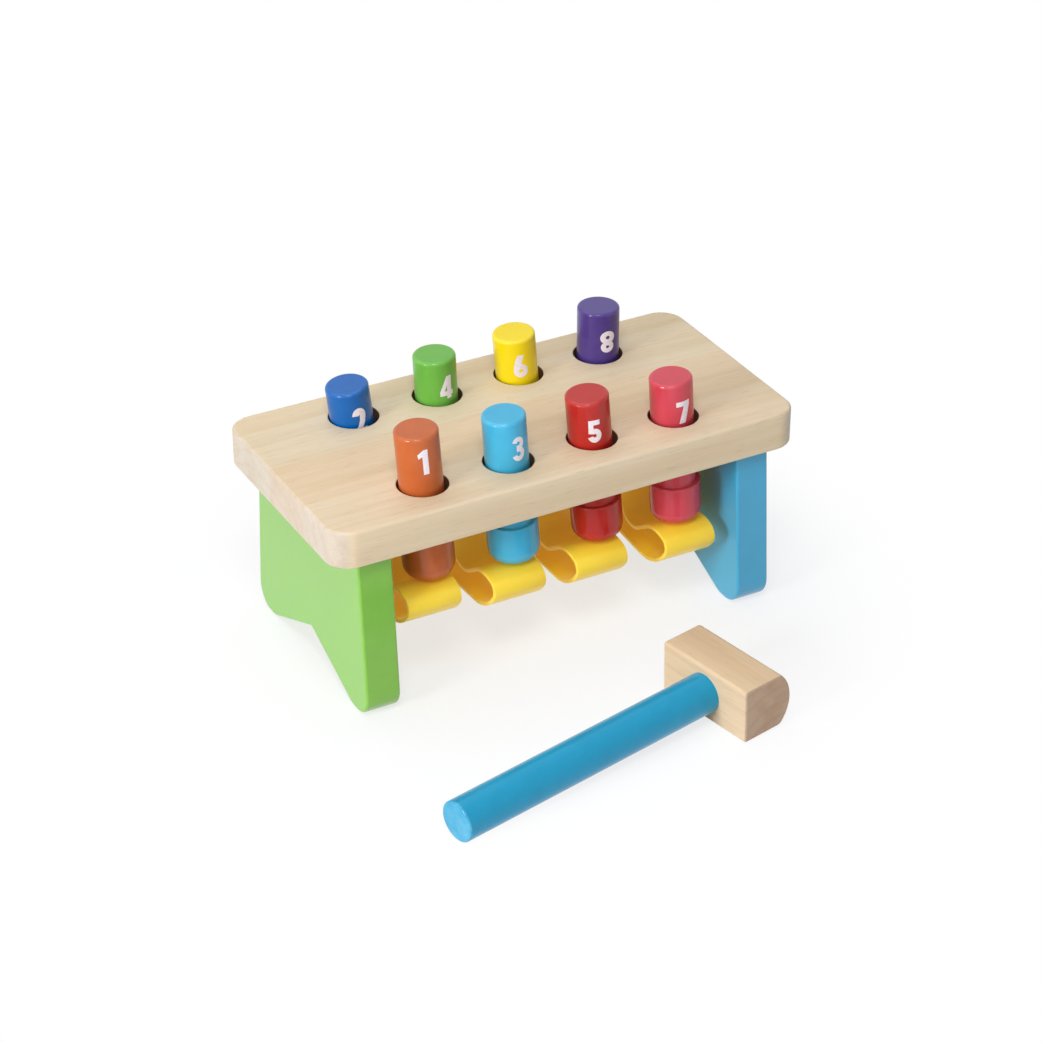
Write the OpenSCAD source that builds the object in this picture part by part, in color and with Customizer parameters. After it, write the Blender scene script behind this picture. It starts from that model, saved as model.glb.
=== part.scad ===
// Peg pounding bench: eight pegs in front and back pairs. Each pair rides on one springy strap
// that hangs over a rod under the board, so a peg that is pounded down lifts its partner.
// A wooden mallet lies in front of the bench.
// Millimetres. +X runs along the bench, +Y to its back, +Z up. The floor is z = 0.

/* [Board] */
// Length of the board
board_l = 260; // [230:1:320]
// Width of the board, front to back
board_w = 128; // [118:1:160]
// Thickness of the board
board_t = 20; // [16:0.5:24]
// Height of the board's top above the floor
board_top = 109.5; // [100:0.5:140]
// Radius of the board's four upright corners
board_corner_r = 13; // [8:0.5:20]
// Radius along the board's upper and lower edges
board_edge_r = 1.5; // [1:0.5:4]

/* [Peg holes] */
// Distance from the board's end to the middle of the nearest hole
hole_margin = 59.5; // [54:0.5:64]
// Distance from the board's front or back to the middle of the nearest row of holes
row_margin = 26; // [23:0.5:30]
// Diameter of a hole
hole_d = 25.5; // [24.5:0.1:26]
// Rounding of a hole's two rims
hole_rim_r = 0.6; // [0.3:0.1:1.2]

/* [Leg panels] */
// Distance from the board's end to a panel's outer face
leg_inset = 14.5; // [8:0.25:20]
// Thickness of a panel
leg_t = 18.5; // [14:0.5:22]
// Distance from the board's front or back to a panel's side, just under the board
leg_side_inset = 7; // [4:0.5:14]
// How far each side of a panel runs out between board and floor
leg_splay = 7; // [0:0.5:14]
// Radius of a foot's outer corner
foot_outer_r = 12; // [6:0.5:14]
// Radius of a foot's inner corner
foot_inner_r = 10; // [4:0.5:14]
// Height of the notch between the feet
notch_h = 19.5; // [12:0.5:28]
// Width of a foot at the floor, beside the notch
foot_w = 18.5; // [17.5:0.5:26]

/* [Leg dowels] */
// Diameter of a dowel pin that joins a panel to the board
dowel_d = 8; // [6:0.5:10]
// Length of a dowel pin
dowel_l = 32; // [26:1:40]
// Length of a dowel pin that is in the board
dowel_in_board = 12; // [8:0.5:14]
// Distance between the two dowel pins of a panel
dowel_gap = 64; // [40:1:80]

/* [Rod] */
// Diameter of the rod that the straps hang over
rod_d = 22; // [16:0.5:24]
// Depth of the rod's seat in each panel
rod_seat = 8; // [5:0.5:12]
// Free height between the strap on the rod and the board
rod_headroom = 1.5; // [0.5:0.1:4]

/* [Straps] */
// Width of a strap, along the bench
strap_w = 29; // [24:0.5:34]
// Thickness of a strap
strap_t = 2; // [1:0.1:3]
// Distance of a strap's crest in front of the peg's centre
crest_ahead = 6.3; // [4:0.1:9]
// Radius of the strap over its crest
crest_r = 18.8; // [15:0.2:24]
// Radius of the strap round its nose
nose_r = 5.3; // [4:0.1:8]
// Radius of the strap under its nose
belly_r = 26.6; // [22:0.2:32]
// Radius of the strap in the valley behind the crest
valley_r = 12; // [6:0.5:14]
// Straight length of the strap between crest and valley
valley_run = 8; // [6:0.2:10]
// Slope of the strap between valley and crest, in degrees
rise_angle = 33; // [28:1:38]
// Direction from the nose's centre to where crest and nose meet, in degrees
nose_top_angle = 69; // [60:1:75]
// Direction from the nose's centre to where nose and belly meet, in degrees
nose_low_angle = -34; // [-44:1:-28]

/* [Pegs] */
// Length of a peg
peg_l = 82.5; // [78:0.5:88]
// Diameter of a peg's shaft
peg_d = 22; // [18:0.1:24]
// Diameter of a peg's wide base, which is too wide for the hole
base_d = 26.4; // [26.2:0.1:30]
// Height of a peg's wide base
base_h = 23; // [18:0.5:26]
// Rounding of a peg's top edge
peg_top_r = 1.5; // [0.5:0.1:3]
// Rounding of the base's upper edge
base_top_r = 0.8; // [0.3:0.1:1.5]
// Rounding of the base's lower edge
base_foot_r = 7; // [4:0.5:9]
// Height of both pegs of a pair above the board when the pair is level
level_rise = 25.3; // [20:0.1:28]

/* [Mallet] */
// Length of the head, from one striking face to the other
head_l = 59; // [45:1:75]
// Height of the head as it lies
head_h = 29.3; // [26:0.1:36]
// Depth of the head at the middle of its rounded back
head_depth = 29.8; // [26:0.1:36]
// Radius of the head's rounded back
head_back_r = 20; // [18.5:0.5:26]
// Diameter of the handle
handle_d = 21; // [16:0.1:22]
// Free length of the handle
handle_l = 155; // [120:1:200]
// Depth of the handle's seat in the head
handle_seat = 20; // [12:0.5:22]
// Chamfer round the handle's end
handle_chamfer = 0.8; // [0.3:0.1:2]
// Distance of the head's middle from the bench's middle, along the bench
mallet_x = 31; // [0:0.5:60]
// Distance of the head's flat face from the board's front
mallet_gap = 74; // [50:0.5:120]
// Direction that the handle points in, in degrees from +X
mallet_turn = -168.8; // [-180:0.5:-150]

/* [Clearances] */
// Radial clearance of a glued dowel, rod or handle in its hole
glue_gap = 0.05; // [0.02:0.01:0.2]
// Clearance beyond the end of a dowel or rod in its blind hole
end_gap = 0.5; // [0.2:0.1:1]
// Clearance between a strap and what it touches
strap_gap = 0.2; // [0.1:0.05:0.4]

/* [Hidden] */

$fn = 64;
// How far a cut runs past the face that it starts from
overrun = 1;
// Straight pieces in each round stretch of a strap
arc_steps = 12;

// How far the front peg of each pair stands above level, as a share of the level rise
seesaw_shares = [0.24, 0.06, 0.02, -0.09];
// How far each peg leans in its hole, as a share of the lean that the hole's play allows
lean_shares = [0.44, 0.69, 0.42, 0.25, 0.54, 0.49, 0.39, 0];
// How far each strap has slid along the rod, as a share of its width
slide_shares = [-0.1, -0.09, -0.09, 0.07];
// Most of the room beside the rod that a strap's valley may fill
valley_room_share = 0.95;

peg_colours = ["#CC6A40", "#2461B0", "#3FB0DC", "#5FB246", "#C0302B", "#F2DC2A", "#D9485A", "#543C8F"];
wood_colour = "#E0CBAE";
dowel_colour = "#CDB08A";
green_colour = "#74AD48";
blue_colour = "#4F9CBF";
strap_colour = "#F0D83C";
handle_colour = "#2A9CC8";

pair_count = len(seesaw_shares);
hole_pitch = (board_l - 2 * hole_margin) / (pair_count - 1);
row_gap = board_w - 2 * row_margin;
leg_top_w = board_w - 2 * leg_side_inset;
leg_foot_w = leg_top_w + 2 * leg_splay;
board_z = board_top - board_t;
leg_x = board_l / 2 - leg_inset - leg_t;
rod_r = rod_d / 2;
rod_path_r = rod_r + strap_gap + strap_t / 2;
rod_z = board_z - rod_headroom - strap_t / 2 - rod_path_r;
crest_u = row_gap / 2 + crest_ahead;
full_lean = atan((hole_d - peg_d) / board_t);

// Places of a peg, numbered from 1; odd pegs are in front
function pair_of(k) = floor((k - 1) / 2);
function side_of(k) = k % 2 == 1 ? -1 : 1;
function pair_x(pair) = (pair - (pair_count - 1) / 2) * hole_pitch;
function peg_rise(k) = level_rise * (1 - side_of(k) * seesaw_shares[pair_of(k)]);
function peg_lean(k) = lean_shares[k - 1] * full_lean;
function peg_drop(k) = peg_l - peg_rise(k) - board_t / 2;

// Height of the lowest point of a peg's base
function base_foot_z(k) = board_top - board_t / 2 - peg_drop(k) * cos(peg_lean(k))
    - (base_d / 2 - base_foot_r) * sin(peg_lean(k)) - base_foot_r * (1 - cos(peg_lean(k)));

function unit_of(v) = v / norm(v);
function ray(angle) = [cos(angle), sin(angle)];

function arc_points(centre, r, from, to) =
    [for (i = [0:arc_steps]) centre + r * ray(from + (to - from) * i / arc_steps)];

// Corner b of an outline a-b-c, rounded by r
function corner_half(a, b, c) = acos(unit_of(a - b) * unit_of(c - b)) / 2;
function corner_start(a, b, c, r) = b + unit_of(a - b) * r / tan(corner_half(a, b, c));
function corner_centre(a, b, c, r) =
    b + unit_of(unit_of(a - b) + unit_of(c - b)) * r / sin(corner_half(a, b, c));
function round_arc(a, b, c, r) =
    let (
        centre = corner_centre(a, b, c, r),
        from = corner_start(a, b, c, r) - centre,
        to = corner_start(c, b, a, r) - centre
    )
    arc_points(centre, r, atan2(from[1], from[0]), atan2(to[1], to[0]));

// Half of a strap's outline from the rod down to the bottom run, as outward distance and height.
// crest_z is the crest's height, other_z that of the other half, and side_step moves it off the middle.
function crest_centre(crest_z) = [crest_u, crest_z - crest_r];
function nose_centre(crest_z) = crest_centre(crest_z) + (crest_r - nose_r) * ray(nose_top_angle);
function belly_centre(crest_z) = nose_centre(crest_z) + (nose_r - belly_r) * ray(nose_low_angle);
function rise_foot(crest_z) = crest_centre(crest_z)
    + crest_r * ray(90 + rise_angle) + valley_run * ray(180 + rise_angle);
function rod_centre() = [0, rod_z];
// The valley's radius, or less where the rod or the other half of the strap leaves no room
function valley_fit(crest_z) =
    let (foot = rise_foot(crest_z), way = rod_centre() - foot, up = ray(90 + rise_angle))
    min(
        valley_r,
        valley_room_share * (way * way - pow(rod_path_r, 2)) / (2 * (way * up + rod_path_r)),
        (foot[0] - strap_t) / (1 - up[0])
    );
function valley_centre(crest_z) = rise_foot(crest_z) + valley_fit(crest_z) * ray(90 + rise_angle);
function sheet_heading(crest_z) =
    let (way = rod_centre() - valley_centre(crest_z))
    atan2(way[1], way[0]) - asin((rod_path_r + valley_fit(crest_z)) / norm(way));
function bottom_tilt(crest_z, other_z) = atan2(crest_z - other_z, 2 * belly_centre(crest_z)[0]);

function strap_half(crest_z, other_z, side_step) =
    let (heading = sheet_heading(crest_z))
    concat(
        arc_points(rod_centre(), rod_path_r + side_step, 90, heading - 90),
        arc_points(valley_centre(crest_z), valley_fit(crest_z) - side_step, heading + 90, 270 + rise_angle),
        arc_points(crest_centre(crest_z), crest_r + side_step, 90 + rise_angle, nose_top_angle),
        arc_points(nose_centre(crest_z), nose_r + side_step, nose_top_angle, nose_low_angle),
        arc_points(belly_centre(crest_z), belly_r + side_step, nose_low_angle,
            bottom_tilt(crest_z, other_z) - 90)
    );

function strap_loop(front_z, back_z, side_step) =
    let (front = strap_half(front_z, back_z, side_step), back = strap_half(back_z, front_z, side_step))
    concat(
        [for (p = front) [-p[0], p[1]]],
        [for (i = [len(back) - 1:-1:1]) back[i]]
    );

module round_rect(w, h, r) {
    square([w - 2 * r, h], center = true);
    square([w, h - 2 * r], center = true);
    for (sx = [-1, 1], sy = [-1, 1])
        translate([sx * (w / 2 - r), sy * (h / 2 - r)]) circle(r);
}

// Plate lying on its middle plane, with round upright corners and round edges
module round_plate(l, w, t, corner_r, edge_r) {
    rotate([90, 0, 90]) linear_extrude(l - 2 * corner_r, center = true) round_rect(w, t, edge_r);
    rotate([90, 0, 0]) linear_extrude(w - 2 * corner_r, center = true) round_rect(l, t, edge_r);
    for (sx = [-1, 1], sy = [-1, 1])
        translate([sx * (l / 2 - corner_r), sy * (w / 2 - corner_r), 0])
            rotate_extrude()
                intersection() {
                    round_rect(2 * corner_r, t, edge_r);
                    translate([0, -t / 2]) square([corner_r, t]);
                }
}

// Cutter for a hole through a plate from z = 0 to t, with both rims rounded
module rimmed_hole(d, t, rim_r) {
    translate([0, 0, -overrun]) cylinder(d = d, h = t + 2 * overrun);
    for (flip = [0, 1])
        translate([0, 0, flip * t]) mirror([0, 0, flip])
            rotate_extrude()
                difference() {
                    translate([0, -overrun]) square([d / 2 + rim_r, rim_r + overrun]);
                    translate([d / 2 + rim_r, rim_r]) circle(rim_r);
                }
}

// Right half of a drum's section, with its lower and upper edges rounded
module drum_section(r, low, high, low_r, high_r) {
    intersection() {
        union() {
            polygon([
                [0, low], [r - low_r, low], [r, low + low_r],
                [r, high - high_r], [r - high_r, high], [0, high]
            ]);
            translate([r - low_r, low + low_r]) circle(low_r);
            translate([r - high_r, high - high_r]) circle(high_r);
        }
        translate([0, low]) square([r, high - low]);
    }
}

module dowel_places(panel_x) {
    for (side = [-1, 1]) translate([panel_x, side * dowel_gap / 2, board_z]) children();
}

module top_board() {
    color(wood_colour)
    difference() {
        translate([0, 0, board_z + board_t / 2])
            round_plate(board_l, board_w, board_t, board_corner_r, board_edge_r);
        for (pair = [0:pair_count - 1], side = [-1, 1])
            translate([pair_x(pair), side * row_gap / 2, board_z]) rimmed_hole(hole_d, board_t, hole_rim_r);
        for (end = [-1, 1])
            dowel_places(end * (leg_x + leg_t / 2))
                translate([0, 0, -overrun])
                    cylinder(d = dowel_d + 2 * glue_gap, h = dowel_in_board + end_gap + overrun);
    }
}

// Outline of a panel: splayed sides, two round feet and a notch between them
module panel_outline() {
    top = [leg_top_w / 2, board_z];
    outer = [leg_foot_w / 2, 0];
    inner = [leg_foot_w / 2 - foot_w, 0];
    apex = [0, notch_h];
    half = concat(
        [top],
        round_arc(top, outer, inner, foot_outer_r),
        round_arc(outer, inner, apex, foot_inner_r)
    );
    polygon(concat(
        half,
        [apex],
        [for (i = [len(half) - 1:-1:0]) [-half[i][0], half[i][1]]]
    ));
}

// Panel whose inner face is at x = 0 and whose outer face is at x = leg_t
module panel() {
    difference() {
        rotate([90, 0, 90]) linear_extrude(leg_t) panel_outline();
        translate([-overrun, 0, rod_z]) rotate([0, 90, 0])
            cylinder(d = rod_d + 2 * glue_gap, h = rod_seat + overrun);
        dowel_places(leg_t / 2)
            translate([0, 0, dowel_in_board - dowel_l - end_gap])
                cylinder(d = dowel_d + 2 * glue_gap, h = dowel_l - dowel_in_board + end_gap + overrun);
    }
}

module left_leg() {
    color(green_colour) mirror([1, 0, 0]) translate([leg_x, 0, 0]) panel();
}

module right_leg() {
    color(blue_colour) translate([leg_x, 0, 0]) panel();
}

// Two pins that join one panel to the board
module leg_dowels(end) {
    color(dowel_colour)
    dowel_places(end * (leg_x + leg_t / 2))
        translate([0, 0, dowel_in_board - dowel_l]) cylinder(d = dowel_d, h = dowel_l);
}

module pulley_rod() {
    color(dowel_colour)
    translate([0, 0, rod_z]) rotate([0, 90, 0])
        cylinder(d = rod_d, h = 2 * (leg_x + rod_seat - end_gap), center = true);
}

// Closed loop of sheet over the rod, with a lobe under each peg of the pair
module strap(pair) {
    front_z = base_foot_z(2 * pair + 1) - strap_gap - strap_t / 2;
    back_z = base_foot_z(2 * pair + 2) - strap_gap - strap_t / 2;
    color(strap_colour)
    translate([pair_x(pair) + slide_shares[pair] * strap_w, 0, 0])
        rotate([90, 0, 90]) linear_extrude(strap_w, center = true)
            difference() {
                polygon(strap_loop(front_z, back_z, strap_t / 2));
                polygon(strap_loop(front_z, back_z, -strap_t / 2));
            }
}

// Turned peg: a shaft on a wide base that stays under the board
module peg(k) {
    color(peg_colours[k - 1])
    translate([pair_x(pair_of(k)), side_of(k) * row_gap / 2, board_top - board_t / 2])
        rotate([0, -peg_lean(k), 0]) translate([0, 0, -peg_drop(k)])
            rotate_extrude() {
                drum_section(base_d / 2, 0, base_h, base_foot_r, base_top_r);
                drum_section(peg_d / 2, base_h / 2, peg_l, base_top_r, peg_top_r);
            }
}

// Lays the mallet down with its head on one edge and the end of its handle on the floor
module mallet_place() {
    dip = atan((head_h / 2 - handle_d / 2) / (handle_l - handle_chamfer));
    translate([mallet_x, -board_w / 2 - mallet_gap, 0])
        rotate([0, dip, mallet_turn]) children();
}

module mallet_head() {
    color(wood_colour)
    mallet_place()
        difference() {
            rotate([90, 0, 0]) linear_extrude(head_l, center = true)
                intersection() {
                    translate([-head_depth, 0]) square([head_depth, head_h]);
                    translate([head_back_r - head_depth, head_h / 2]) circle(head_back_r, $fn = 128);
                }
            translate([-handle_seat, 0, head_h / 2]) rotate([0, 90, 0])
                cylinder(d = handle_d + 2 * glue_gap, h = handle_seat + overrun);
        }
}

module mallet_handle() {
    r = handle_d / 2;
    low = end_gap - handle_seat;
    color(handle_colour)
    mallet_place()
        translate([0, 0, head_h / 2]) rotate([0, 90, 0])
            rotate_extrude()
                polygon([
                    [0, low], [r, low], [r, handle_l - handle_chamfer],
                    [r - handle_chamfer, handle_l], [0, handle_l]
                ]);
}

top_board();
left_leg();
right_leg();
leg_dowels(-1);  // left_leg_dowels
leg_dowels(1);  // right_leg_dowels
pulley_rod();
strap(0);  // strap_1_2
strap(1);  // strap_3_4
strap(2);  // strap_5_6
strap(3);  // strap_7_8
for (k = [1:2 * pair_count])
    peg(k);
mallet_head();
mallet_handle();
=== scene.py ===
import bpy
import bmesh
import math
from mathutils import Matrix, Vector


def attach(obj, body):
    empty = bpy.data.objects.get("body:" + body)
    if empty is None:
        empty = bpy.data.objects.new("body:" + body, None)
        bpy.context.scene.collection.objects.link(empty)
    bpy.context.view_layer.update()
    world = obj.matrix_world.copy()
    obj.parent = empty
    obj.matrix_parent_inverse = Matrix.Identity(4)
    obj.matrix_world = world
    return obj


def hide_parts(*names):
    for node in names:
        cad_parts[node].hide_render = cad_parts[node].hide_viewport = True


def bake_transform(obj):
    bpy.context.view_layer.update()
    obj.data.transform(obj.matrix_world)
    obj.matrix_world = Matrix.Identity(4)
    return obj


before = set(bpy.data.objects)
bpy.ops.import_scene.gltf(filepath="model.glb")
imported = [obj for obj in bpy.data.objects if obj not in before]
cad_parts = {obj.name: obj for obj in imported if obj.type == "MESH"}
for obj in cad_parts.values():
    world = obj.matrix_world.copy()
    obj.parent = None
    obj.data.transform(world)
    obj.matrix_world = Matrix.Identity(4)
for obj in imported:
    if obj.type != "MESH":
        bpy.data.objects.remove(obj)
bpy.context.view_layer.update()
scene = bpy.context.scene
scene.view_settings.view_transform = "Standard"
mm = 0.001
oneMm = 1000  # texture scale of a pattern that is 1 mm wide
weld = 1e-6  # points closer than this are merged
sliver = 1e-7  # edges shorter than this are taken out


def hexToLinear(text):
    parts = [int(text[i:i + 2], 16) / 255 for i in (1, 3, 5)]
    return tuple(c / 12.92 if c <= 0.04045 else ((c + 0.055) / 1.055) ** 2.4 for c in parts) + (1.0,)


# a socket among the inputs is linked, anything else is set on the node's own socket
def setInputs(tree, node, inputs):
    for key, value in inputs.items():
        if isinstance(value, bpy.types.NodeSocket):
            tree.links.new(value, node.inputs[key])
        else:
            node.inputs[key].default_value = value


# adds a node with its settings and links
def addNode(tree, kind, props=(), inputs=()):
    node = tree.nodes.new(kind)
    for key, value in dict(props).items():
        setattr(node, key, value)
    setInputs(tree, node, dict(inputs))
    return node


def newMaterial(name):
    material = bpy.data.materials.new(name)
    material.use_nodes = True
    return material, material.node_tree, material.node_tree.nodes["Principled BSDF"]


def newPiece(name, mesh, material):
    piece = bpy.data.objects.new(name, mesh)
    scene.collection.objects.link(piece)
    mesh.materials.clear()
    mesh.materials.append(material)
    return piece


# plain mesh of what an object's modifiers or outlines make
def evaluatedMesh(holder):
    bpy.context.view_layer.update()
    return bpy.data.meshes.new_from_object(holder.evaluated_get(bpy.context.evaluated_depsgraph_get()))


# runs a piece's modifiers and keeps the result as its plain mesh
def bakePiece(piece):
    done = evaluatedMesh(piece)
    piece.modifiers.clear()
    piece.data = done
    done.name = piece.name
    return piece


# turns faces outwards, shades them smooth and gives them as a mesh
def smoothMesh(bm, name):
    bmesh.ops.recalc_face_normals(bm, faces=bm.faces)
    for face in bm.faces:
        face.smooth = True
    mesh = bpy.data.meshes.new(name)
    bm.to_mesh(mesh)
    bm.free()
    return mesh


def arcPoints(centre, radius, start, end, steps):
    turns = [math.radians(start + (end - start) * i / steps) for i in range(steps + 1)]
    return [(centre[0] + radius * math.cos(a), centre[1] + radius * math.sin(a)) for a in turns]


# gives a colour ramp its stops, from the lowest place to the highest
def setStops(ramp, stops):
    elements = ramp.color_ramp.elements
    for element, (place, tint) in zip(elements, (stops[0], stops[-1])):
        element.position = place
        element.color = hexToLinear(tint)
    for place, tint in stops[1:-1]:
        elements.new(place).color = hexToLinear(tint)


# scale of a pattern with one size along X and another across it
def grainScale(alongMm, acrossMm):
    return (oneMm / alongMm, oneMm / acrossMm, oneMm / acrossMm)


# beech, sawn, sanded and sealed with a thin satin lacquer: pale, with broad tone bands and fine
# fibres along the grain, a few growth lines, short brown pore dashes, cooler end grain and painted shade on
# the hole walls
def makeBeech(name, look):
    material, tree, shader = newMaterial(name)
    coords = addNode(tree, "ShaderNodeTexCoord")
    turned = addNode(tree, "ShaderNodeMapping", {}, {
        "Vector": coords.outputs["Object"], "Rotation": look["turn"]})
    at = turned.outputs["Vector"]
    noise = {}
    for layer, (alongMm, acrossMm, detail, roughness, distortion) in look["layers"].items():
        drawnOut = addNode(tree, "ShaderNodeMapping", {}, {
            "Vector": at, "Scale": grainScale(alongMm, acrossMm)})
        pattern = addNode(tree, "ShaderNodeTexNoise", {}, {
            "Vector": drawnOut.outputs["Vector"], "Scale": 1.0, "Detail": detail, "Roughness": roughness,
            "Distortion": distortion})
        noise[layer] = pattern.outputs["Fac"]

    # growth rings round the heart of the tree
    ringAlong, ringAcross = look["ringMm"]
    heart = addNode(tree, "ShaderNodeMapping", {}, {
        "Vector": at, "Scale": grainScale(ringAlong, ringAcross),
        "Location": (0, -look["heart"][0] / ringAcross, -look["heart"][1] / ringAcross)})
    wavePeriod = 0.314  # of a wave texture at scale 1
    growth = addNode(tree, "ShaderNodeTexWave", {"wave_type": "RINGS", "rings_direction": "X"}, {
        "Vector": heart.outputs["Vector"], "Scale": wavePeriod, "Distortion": 5.0, "Detail": 1.0,
        "Detail Scale": 0.8})
    growthLine = addNode(tree, "ShaderNodeMapRange", {"clamp": True, "interpolation_type": "SMOOTHSTEP"}, {
        "Value": growth.outputs["Fac"], "From Min": 0.7, "From Max": 1.0, "To Max": look["growth"]})
    poreMask = addNode(tree, "ShaderNodeMapRange", {"clamp": True}, {
        "Value": noise["pores"], "From Min": 0.63, "From Max": 0.74, "To Max": look["pores"]})

    # the layers add up to a tone from pale to brown
    tone = look["toneBase"]
    for layer, share in look["toneShares"].items():
        added = addNode(tree, "ShaderNodeMath", {"operation": "MULTIPLY_ADD", "use_clamp": True}, {
            0: noise[layer], 1: share, 2: tone})
        tone = added.outputs[0]
    ramp = addNode(tree, "ShaderNodeValToRGB", {}, {"Fac": tone})
    setStops(ramp, [(0.28, look["pale"]), (0.58, look["cream"]), (0.92, look["brown"])])

    # staves glued edge to edge, each with a slightly different tone
    split = addNode(tree, "ShaderNodeSeparateXYZ", {}, {"Vector": at})
    across = addNode(tree, "ShaderNodeMapRange", {"clamp": True}, {
        "Value": split.outputs["Y"], "From Min": -look["staveReach"], "From Max": look["staveReach"]})
    staves = addNode(tree, "ShaderNodeValToRGB", {}, {"Fac": across.outputs["Result"]})
    staves.color_ramp.interpolation = "CONSTANT"
    setStops(staves, look["staves"])
    plain = addNode(tree, "ShaderNodeMix", {"data_type": "RGBA", "blend_type": "MULTIPLY"}, {
        "Factor": 1.0, "A": ramp.outputs["Color"], "B": staves.outputs["Color"]})
    lined = addNode(tree, "ShaderNodeMix", {"data_type": "RGBA"}, {
        "Factor": growthLine.outputs["Result"], "A": plain.outputs["Result"],
        "B": hexToLinear(look["brown"])})
    pored = addNode(tree, "ShaderNodeMix", {"data_type": "RGBA"}, {
        "Factor": poreMask.outputs["Result"], "A": lined.outputs["Result"], "B": hexToLinear(look["pore"])})

    # end grain soaks up more lacquer and looks darker and cooler
    facing = addNode(tree, "ShaderNodeMapping", {"vector_type": "NORMAL"}, {
        "Vector": coords.outputs["Normal"], "Rotation": look["turn"]})
    axes = addNode(tree, "ShaderNodeSeparateXYZ", {}, {"Vector": facing.outputs["Vector"]})
    endwise = addNode(tree, "ShaderNodeMath", {"operation": "ABSOLUTE"}, {0: axes.outputs["X"]})
    endMask = addNode(tree, "ShaderNodeMapRange", {"clamp": True, "interpolation_type": "SMOOTHSTEP"}, {
        "Value": endwise.outputs[0], "From Min": 0.2, "From Max": 0.6})
    ended = addNode(tree, "ShaderNodeMix", {"data_type": "RGBA", "blend_type": "MULTIPLY"}, {
        "Factor": endMask.outputs["Result"], "A": pored.outputs["Result"],
        "B": hexToLinear(look["endTint"])})
    # painted shade: the walls of the holes are darkened for the shade in the gap round each peg
    holeShadeMark = addNode(tree, "ShaderNodeAttribute", {"attribute_name": "paintedHoleShade"})
    colour = addNode(tree, "ShaderNodeMix", {"data_type": "RGBA"}, {
        "Factor": holeShadeMark.outputs["Fac"], "A": ended.outputs["Result"], "B": hexToLinear(look["holeShade"])})
    rough = addNode(tree, "ShaderNodeMapRange", {"clamp": True}, {
        "Value": noise["fibres"], "From Min": 0.3, "From Max": 0.7, "To Min": 0.44, "To Max": 0.58})
    # pores are small pits among the fibres
    relief = addNode(tree, "ShaderNodeMath", {"operation": "MULTIPLY_ADD"}, {
        0: poreMask.outputs["Result"], 1: -0.8, 2: noise["fibres"]})
    bump = addNode(tree, "ShaderNodeBump", {}, {
        "Height": relief.outputs[0], "Strength": 0.25, "Distance": 0.06 * mm})
    setInputs(tree, shader, {
        "Base Color": colour.outputs["Result"], "Roughness": rough.outputs["Result"],
        "Normal": bump.outputs["Normal"], "IOR": 1.48, "Specular IOR Level": 0.25})
    return material


# water-based satin enamel sprayed on sanded wood: an even strong colour with a soft sheen, a faint
# trace of the grain under it, slight mottling, paler worn edges, and a painted highlight where a profile
# marks a lit face
def makeEnamel(name, look):
    material, tree, shader = newMaterial(name)
    coords = addNode(tree, "ShaderNodeTexCoord")
    turned = addNode(tree, "ShaderNodeMapping", {}, {
        "Vector": coords.outputs["Object"], "Rotation": look["turn"]})
    mottle = addNode(tree, "ShaderNodeTexNoise", {}, {
        "Vector": turned.outputs["Vector"], "Scale": oneMm / look["mottleMm"], "Detail": 3.0,
        "Roughness": 0.55})
    along = addNode(tree, "ShaderNodeMapping", {}, {
        "Vector": turned.outputs["Vector"], "Scale": grainScale(*look["grainMm"])})
    grain = addNode(tree, "ShaderNodeTexNoise", {}, {
        "Vector": along.outputs["Vector"], "Scale": 1.0, "Detail": 2.0, "Roughness": 0.55})
    peel = addNode(tree, "ShaderNodeTexNoise", {}, {
        "Vector": coords.outputs["Object"], "Scale": oneMm / look["peelMm"], "Detail": 1.0})
    shade = addNode(tree, "ShaderNodeMapRange", {"clamp": True}, {
        "Value": mottle.outputs["Fac"], "From Min": 0.3, "From Max": 0.7})
    body = addNode(tree, "ShaderNodeMix", {"data_type": "RGBA"}, {
        "Factor": shade.outputs["Result"], "A": hexToLinear(look["deep"]),
        "B": hexToLinear(look["colour"])})
    streak = addNode(tree, "ShaderNodeMapRange", {"clamp": True}, {
        "Value": grain.outputs["Fac"], "From Min": 0.55, "From Max": 0.75, "To Max": 0.22})
    grained = addNode(tree, "ShaderNodeMix", {"data_type": "RGBA"}, {
        "Factor": streak.outputs["Result"], "A": body.outputs["Result"], "B": hexToLinear(look["deep"])})
    # pale marks: worn edges, and a painted highlight on the mallet handle's end face
    wearAndLightMark = addNode(tree, "ShaderNodeAttribute", {"attribute_name": "wearAndPaintedLight"})
    shadedWearAndLight = addNode(tree, "ShaderNodeMath", {"operation": "MULTIPLY"}, {
        0: wearAndLightMark.outputs["Fac"], 1: shade.outputs["Result"]})
    wearAndLightShare = addNode(tree, "ShaderNodeMath", {"operation": "MULTIPLY"}, {
        0: shadedWearAndLight.outputs[0], 1: look["wearAndLight"]})
    colour = addNode(tree, "ShaderNodeMix", {"data_type": "RGBA"}, {
        "Factor": wearAndLightShare.outputs[0], "A": grained.outputs["Result"], "B": hexToLinear(look["pale"])})
    rough = addNode(tree, "ShaderNodeMapRange", {"clamp": True}, {
        "Value": mottle.outputs["Fac"], "From Min": 0.3, "From Max": 0.7,
        "To Min": look["rough"] - 0.04, "To Max": look["rough"] + 0.05})
    relief = addNode(tree, "ShaderNodeMath", {"operation": "MULTIPLY_ADD"}, {
        0: grain.outputs["Fac"], 1: 0.7, 2: peel.outputs["Fac"]})
    bump = addNode(tree, "ShaderNodeBump", {}, {
        "Height": relief.outputs[0], "Strength": 0.12, "Distance": 0.05 * mm})
    setInputs(tree, shader, {
        "Base Color": colour.outputs["Result"], "Roughness": rough.outputs["Result"],
        "Normal": bump.outputs["Normal"], "IOR": 1.5, "Specular IOR Level": look["shine"],
        "Coat Weight": look["coat"], "Coat Roughness": look["coatRough"]})
    return material
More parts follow.
